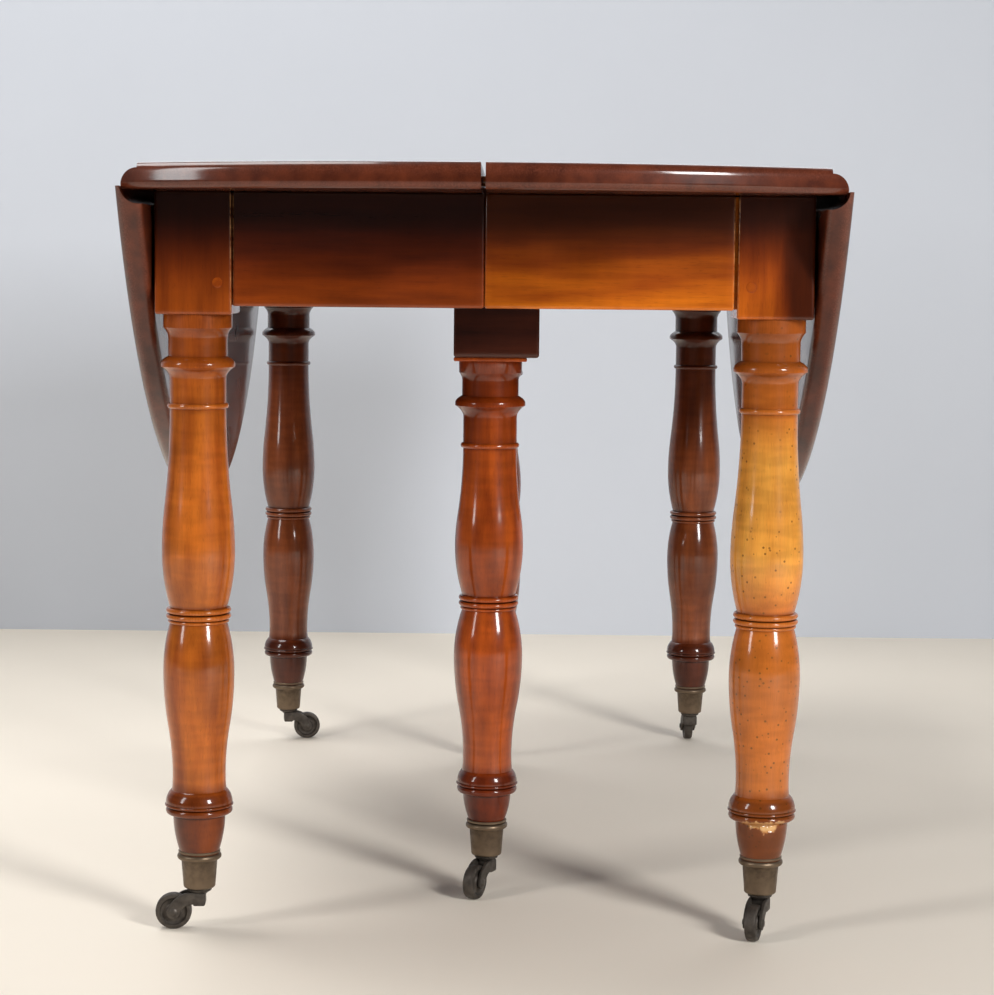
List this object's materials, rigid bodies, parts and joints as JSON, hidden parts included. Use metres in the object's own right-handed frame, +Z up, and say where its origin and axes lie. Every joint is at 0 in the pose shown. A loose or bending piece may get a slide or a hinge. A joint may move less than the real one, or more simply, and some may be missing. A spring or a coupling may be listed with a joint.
{
  "type": "drop-leaf extending table",
  "caption": "Dining table with turned legs on swivelling brass casters; hanging leaves rise on rule joints to a round top, and the split top draws apart on wooden slides.",
  "frame": {"origin": "on the floor under the middle of the table, leaves hanging and halves closed", "axes": "+Z up, +X across the leaves, the way the table is drawn out, +Y along the hinges"},
  "size_m": [0.672, 1.3, 0.736],
  "materials": {
    "top_wood": "worn polish",
    "leaf_wood": "worn polish",
    "leg_wood": "worn polish",
    "centre_leg_wood": "worn polish",
    "apron_wood": "worn polish",
    "slide_wood": "worn polish",
    "bearer_wood": "worn polish",
    "peg_wood": "worn polish",
    "aged_brass": "dull, aged",
    "hinge_iron": "dark"
  },
  "bodies": {
    "centre_frame": {"leg_centre_front": "centre_leg_wood", "leg_centre_back": "centre_leg_wood", "cross_bearer": "bearer_wood", "centre_slides": "slide_wood", "caster_cups_centre": "aged_brass"},
    "left_half": {"top_left": "top_wood", "align_dowels_left": "peg_wood", "side_apron_left": "apron_wood", "loper_guides_left": "slide_wood", "hinge_top_flaps_left": "hinge_iron", "tenon_pegs_left": "peg_wood", "caster_cups_left": "aged_brass", "outer_slides_left": "slide_wood", "leg_front_left": "leg_wood", "end_apron_front_left": "apron_wood", "leg_back_left": "leg_wood", "end_apron_back_left": "apron_wood"},
    "left_mid_slides": {"mid_slides_left": "slide_wood"},
    "left_leaf": {"drop_leaf_left": "leaf_wood", "hinge_leaf_flaps_left": "hinge_iron"},
    "loper_front_left": {"loper_front_left": "slide_wood"},
    "swivel_front_left": {"caster_fork_front_left": "aged_brass"},
    "wheel_front_left": {"caster_wheel_front_left": "aged_brass"},
    "loper_back_left": {"loper_back_left": "slide_wood"},
    "swivel_back_left": {"caster_fork_back_left": "aged_brass"},
    "wheel_back_left": {"caster_wheel_back_left": "aged_brass"},
    "right_half": {"top_right": "top_wood", "align_dowels_right": "peg_wood", "side_apron_right": "apron_wood", "loper_guides_right": "slide_wood", "hinge_top_flaps_right": "hinge_iron", "tenon_pegs_right": "peg_wood", "caster_cups_right": "aged_brass", "outer_slides_right": "slide_wood", "leg_front_right": "leg_wood", "end_apron_front_right": "apron_wood", "leg_back_right": "leg_wood", "end_apron_back_right": "apron_wood"},
    "right_mid_slides": {"mid_slides_right": "slide_wood"},
    "right_leaf": {"drop_leaf_right": "leaf_wood", "hinge_leaf_flaps_right": "hinge_iron"},
    "loper_front_right": {"loper_front_right": "slide_wood"},
    "swivel_front_right": {"caster_fork_front_right": "aged_brass"},
    "wheel_front_right": {"caster_wheel_front_right": "aged_brass"},
    "loper_back_right": {"loper_back_right": "slide_wood"},
    "swivel_back_right": {"caster_fork_back_right": "aged_brass"},
    "wheel_back_right": {"caster_wheel_back_right": "aged_brass"},
    "swivel_centre_front": {"caster_fork_centre_front": "aged_brass"},
    "wheel_centre_front": {"caster_wheel_centre_front": "aged_brass"},
    "swivel_centre_back": {"caster_fork_centre_back": "aged_brass"},
    "wheel_centre_back": {"caster_wheel_centre_back": "aged_brass"}
  },
  "joints": [
    {"name": "left_half_draw", "type": "slide", "parent": "centre_frame", "child": "left_half", "axis": [-1, 0, 0], "range_m": [0, 0.73]},
    {"name": "left_mid_draw", "type": "slide", "parent": "centre_frame", "child": "left_mid_slides", "axis": [-1, 0, 0], "range_m": [0, 0.365]},
    {"name": "left_leaf_hinge", "type": "hinge", "parent": "left_half", "child": "left_leaf", "pos_m": [-0.315, 0, 0.715], "axis": [0, 1, 0], "range_deg": [0, 90]},
    {"name": "loper_draw_front_left", "type": "slide", "parent": "left_half", "child": "loper_front_left", "axis": [-1, 0, 0], "range_m": [0, 0.006]},
    {"name": "swivel_turn_front_left", "type": "hinge", "parent": "left_half", "child": "swivel_front_left", "pos_m": [-0.2725, -0.469, 0.0407], "axis": [0, 0, 1], "continuous": true},
    {"name": "wheel_roll_front_left", "type": "hinge", "parent": "swivel_front_left", "child": "wheel_front_left", "pos_m": [-0.29747, -0.47031, 0.0175], "axis": [0.0523, -0.9986, 0], "continuous": true},
    {"name": "loper_draw_back_left", "type": "slide", "parent": "left_half", "child": "loper_back_left", "axis": [-1, 0, 0], "range_m": [0, 0.006]},
    {"name": "swivel_turn_back_left", "type": "hinge", "parent": "left_half", "child": "swivel_back_left", "pos_m": [-0.2725, 0.469, 0.0407], "axis": [0, 0, 1], "continuous": true},
    {"name": "wheel_roll_back_left", "type": "hinge", "parent": "swivel_back_left", "child": "wheel_back_left", "pos_m": [-0.24774, 0.47248, 0.0175], "axis": [-0.1392, 0.9903, 0], "continuous": true},
    {"name": "right_half_draw", "type": "slide", "parent": "centre_frame", "child": "right_half", "axis": [1, 0, 0], "range_m": [0, 0.73]},
    {"name": "right_mid_draw", "type": "slide", "parent": "centre_frame", "child": "right_mid_slides", "axis": [1, 0, 0], "range_m": [0, 0.365]},
    {"name": "right_leaf_hinge", "type": "hinge", "parent": "right_half", "child": "right_leaf", "pos_m": [0.315, 0, 0.715], "axis": [0, -1, 0], "range_deg": [0, 90]},
    {"name": "loper_draw_front_right", "type": "slide", "parent": "right_half", "child": "loper_front_right", "axis": [1, 0, 0], "range_m": [0, 0.006]},
    {"name": "swivel_turn_front_right", "type": "hinge", "parent": "right_half", "child": "swivel_front_right", "pos_m": [0.2725, -0.469, 0.0407], "axis": [0, 0, 1], "continuous": true},
    {"name": "wheel_roll_front_right", "type": "hinge", "parent": "swivel_front_right", "child": "wheel_front_right", "pos_m": [0.26436, -0.49264, 0.0175], "axis": [0.9455, -0.3256, 0], "continuous": true},
    {"name": "loper_draw_back_right", "type": "slide", "parent": "right_half", "child": "loper_back_right", "axis": [1, 0, 0], "range_m": [0, 0.006]},
    {"name": "swivel_turn_back_right", "type": "hinge", "parent": "right_half", "child": "swivel_back_right", "pos_m": [0.2725, 0.469, 0.0407], "axis": [0, 0, 1], "continuous": true},
    {"name": "wheel_roll_back_right", "type": "hinge", "parent": "swivel_back_right", "child": "wheel_back_right", "pos_m": [0.27163, 0.49399, 0.0175], "axis": [-0.9994, -0.0349, 0], "continuous": true},
    {"name": "swivel_turn_centre_front", "type": "hinge", "parent": "centre_frame", "child": "swivel_centre_front", "pos_m": [0.005, -0.328, 0.0407], "axis": [0, 0, 1], "continuous": true},
    {"name": "wheel_roll_centre_front", "type": "hinge", "parent": "swivel_centre_front", "child": "wheel_centre_front", "pos_m": [-0.00635, -0.35028, 0.0175], "axis": [0.891, -0.454, 0], "continuous": true},
    {"name": "swivel_turn_centre_back", "type": "hinge", "parent": "centre_frame", "child": "swivel_centre_back", "pos_m": [0.005, 0.328, 0.0407], "axis": [0, 0, 1], "continuous": true},
    {"name": "wheel_roll_centre_back", "type": "hinge", "parent": "swivel_centre_back", "child": "wheel_centre_back", "pos_m": [-0.00674, 0.35007, 0.0175], "axis": [-0.8829, -0.4695, 0], "continuous": true}
  ],
  "couplings": [
    {"joint": "left_mid_draw", "follows": "left_half_draw", "ratio": 0.5},
    {"joint": "right_mid_draw", "follows": "right_half_draw", "ratio": 0.5}
  ]
}
